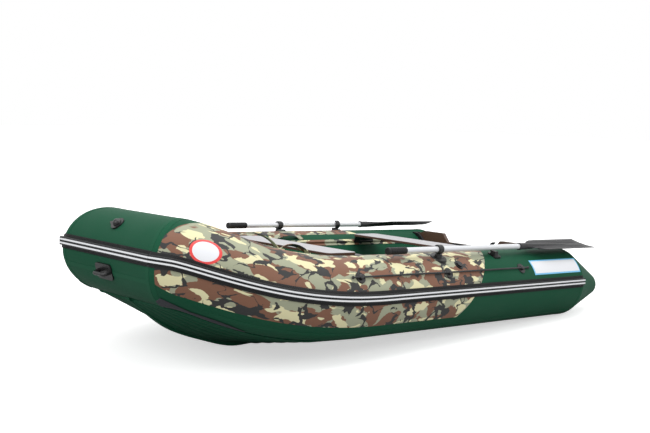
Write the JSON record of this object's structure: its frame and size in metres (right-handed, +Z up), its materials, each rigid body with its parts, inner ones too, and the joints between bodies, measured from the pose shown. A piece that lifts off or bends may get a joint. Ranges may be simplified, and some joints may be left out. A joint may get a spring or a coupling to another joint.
{
  "type": "inflatable boat",
  "caption": "Inflatable keel boat with blunt raised bow, tapered sterns, plywood transom with motor notch, thwarts across the cockpit and stowed oars on swivelling rowlocks.",
  "frame": {"origin": "middle of the floor rectangle that the boat covers, at floor level", "axes": "+X to the bow, +Y to port, +Z up; the boat stands on its keel and the sterns of its tubes"},
  "size_m": [3.2958, 1.555, 0.7224],
  "materials": {
    "hull_pvc": "dark green coated fabric, satin",
    "hull_camo": "dark green coated fabric with a camouflage overlay, satin",
    "black_rubber": "ribbed black rubber, satin",
    "pale_rubber": "pale grey inlay",
    "grey_rubber": "dark grey wear strip",
    "plywood": "varnished plywood",
    "thwart_ply": "light grey top over plywood",
    "black_plastic": "moulded black plastic",
    "grey_plastic": "moulded grey plastic",
    "steel": "brushed",
    "alloy": "satin anodised",
    "loop_fabric": "camouflage webbing",
    "rope": "black braided rope"
  },
  "bodies": {
    "hull": {"bow_eye": "black_plastic", "bow_tube": "hull_pvc", "chine_strip_port": "grey_rubber", "chine_strip_starboard": "grey_rubber", "drain_plug": "black_plastic", "grab_loops_port": "loop_fabric", "grab_loops_starboard": "loop_fabric", "hull_bottom": "hull_pvc", "keel_strip": "grey_rubber", "lifeline_port": "rope", "lifeline_starboard": "rope", "oar_clip_port": "black_plastic", "oar_clip_starboard": "black_plastic", "rope_holders_port": "black_rubber", "rope_holders_starboard": "black_rubber", "rowlock_base_port": "black_plastic", "rowlock_base_starboard": "black_plastic", "rub_strake_bow": "black_rubber", "rub_strake_port": "black_rubber", "rub_strake_starboard": "black_rubber", "rub_stripes_bow": "pale_rubber", "rub_stripes_port": "pale_rubber", "rub_stripes_starboard": "pale_rubber", "seat_brackets_port": "black_plastic", "seat_brackets_starboard": "black_plastic", "seat_rail_port": "black_rubber", "seat_rail_starboard": "black_rubber", "side_tube_port": "hull_camo", "side_tube_starboard": "hull_camo", "stern_cone_port": "hull_pvc", "stern_cone_starboard": "hull_pvc", "stern_eye_port": "steel", "stern_eye_starboard": "steel", "stern_handle_port": "black_plastic", "stern_handle_starboard": "black_plastic", "thwart_aft": "thwart_ply", "thwart_front": "thwart_ply", "tow_handle": "black_plastic", "transom": "plywood", "transom_mount_port": "black_rubber", "transom_mount_starboard": "black_rubber", "transom_pad_inner": "grey_plastic", "transom_pad_outer": "grey_plastic", "valve_port": "black_plastic", "valve_starboard": "black_plastic"},
    "oar_port": {"rowlock_port": "black_plastic", "oar_shaft_port": "alloy", "oar_grip_port": "black_plastic", "oar_blade_port": "black_plastic"},
    "oar_starboard": {"rowlock_starboard": "black_plastic", "oar_shaft_starboard": "alloy", "oar_grip_starboard": "black_plastic", "oar_blade_starboard": "black_plastic"}
  },
  "joints": [
    {"name": "rowlock_swing_port", "type": "hinge", "parent": "hull", "child": "oar_port", "pos_m": [-0.02189, 0.637, 0.47356], "axis": [0.0558, 0, -0.9984], "range_deg": [0, 130]},
    {"name": "rowlock_swing_starboard", "type": "hinge", "parent": "hull", "child": "oar_starboard", "pos_m": [-0.02189, -0.637, 0.47356], "axis": [-0.0558, 0, 0.9984], "range_deg": [0, 130]}
  ]
}
